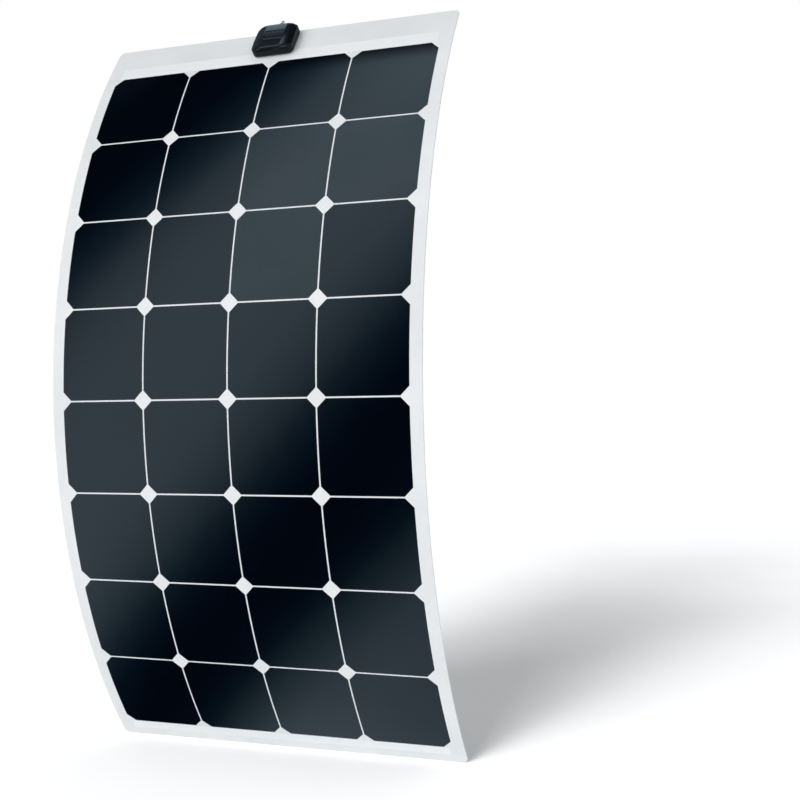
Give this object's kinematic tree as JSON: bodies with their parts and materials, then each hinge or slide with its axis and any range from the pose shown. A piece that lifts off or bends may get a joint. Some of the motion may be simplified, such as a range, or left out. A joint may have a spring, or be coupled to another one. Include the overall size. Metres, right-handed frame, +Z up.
{
  "type": "flexible solar sheet",
  "caption": "Thin white solar sheet bent to a gentle arch, with rows of near-black cut-corner cells and a low black junction box at the top edge.",
  "frame": {"origin": "on the floor under the middle of the object: centre of the bounding box in X and Y, at the foot of the bottom edge", "axes": "+Z up along the chord of the bend, +X across the width to the right as seen from the cell side, cells face -Y and the sheet bulges towards -Y"},
  "size_m": [0.54, 0.1831, 1.0511],
  "materials": {
    "cell_black": "satin",
    "tinned_copper": "satin",
    "white_mask": "matt",
    "clear_film": "gloss",
    "clear_encapsulant": "gloss",
    "white_core": "satin",
    "back_film": "satin",
    "adhesive_pad": "matt",
    "box_black": "satin",
    "lid_black": "satin",
    "seal_rubber": "matt",
    "rail_metal": "satin",
    "clip_steel": "satin",
    "diode_black": "matt",
    "collar_rubber": "matt",
    "stub_grey": "satin"
  },
  "bodies": {
    "sheet": {"cell_r1_c1": "cell_black", "cell_r1_c2": "cell_black", "cell_r1_c3": "cell_black", "cell_r1_c4": "cell_black", "cell_r2_c1": "cell_black", "cell_r2_c2": "cell_black", "cell_r2_c3": "cell_black", "cell_r2_c4": "cell_black", "cell_r3_c1": "cell_black", "cell_r3_c2": "cell_black", "cell_r3_c3": "cell_black", "cell_r3_c4": "cell_black", "cell_r4_c1": "cell_black", "cell_r4_c2": "cell_black", "cell_r4_c3": "cell_black", "cell_r4_c4": "cell_black", "cell_r5_c1": "cell_black", "cell_r5_c2": "cell_black", "cell_r5_c3": "cell_black", "cell_r5_c4": "cell_black", "cell_r6_c1": "cell_black", "cell_r6_c2": "cell_black", "cell_r6_c3": "cell_black", "cell_r6_c4": "cell_black", "cell_r7_c1": "cell_black", "cell_r7_c2": "cell_black", "cell_r7_c3": "cell_black", "cell_r7_c4": "cell_black", "cell_r8_c1": "cell_black", "cell_r8_c2": "cell_black", "cell_r8_c3": "cell_black", "cell_r8_c4": "cell_black", "string_1_interconnects": "tinned_copper", "string_2_interconnects": "tinned_copper", "string_3_interconnects": "tinned_copper", "string_4_interconnects": "tinned_copper", "bus_ribbon_positive": "tinned_copper", "bus_ribbon_centre": "tinned_copper", "bus_ribbon_negative": "tinned_copper", "bus_ribbon_bottom_left": "tinned_copper", "bus_ribbon_bottom_right": "tinned_copper", "top_ribbon_mask": "white_mask", "bottom_ribbon_mask": "white_mask", "front_film": "clear_film", "front_encapsulant": "clear_encapsulant", "rear_encapsulant": "clear_encapsulant", "glass_fibre_core": "white_core", "back_film": "back_film", "jbox_pad": "adhesive_pad", "jbox_base": "box_black", "lid_seal": "seal_rubber", "rail_positive": "rail_metal", "rail_centre": "rail_metal", "rail_negative": "rail_metal", "ribbon_clips": "clip_steel", "bypass_diode_left": "diode_black", "bypass_diode_right": "diode_black", "outlet_collar": "collar_rubber", "outlet_stub": "stub_grey"},
    "lid": {"jbox_lid": "lid_black"}
  },
  "joints": [
    {"name": "lid_lift", "type": "slide", "parent": "sheet", "child": "lid", "axis": [0, -0.8089, 0.588], "range_m": [0, 0.03]}
  ]
}
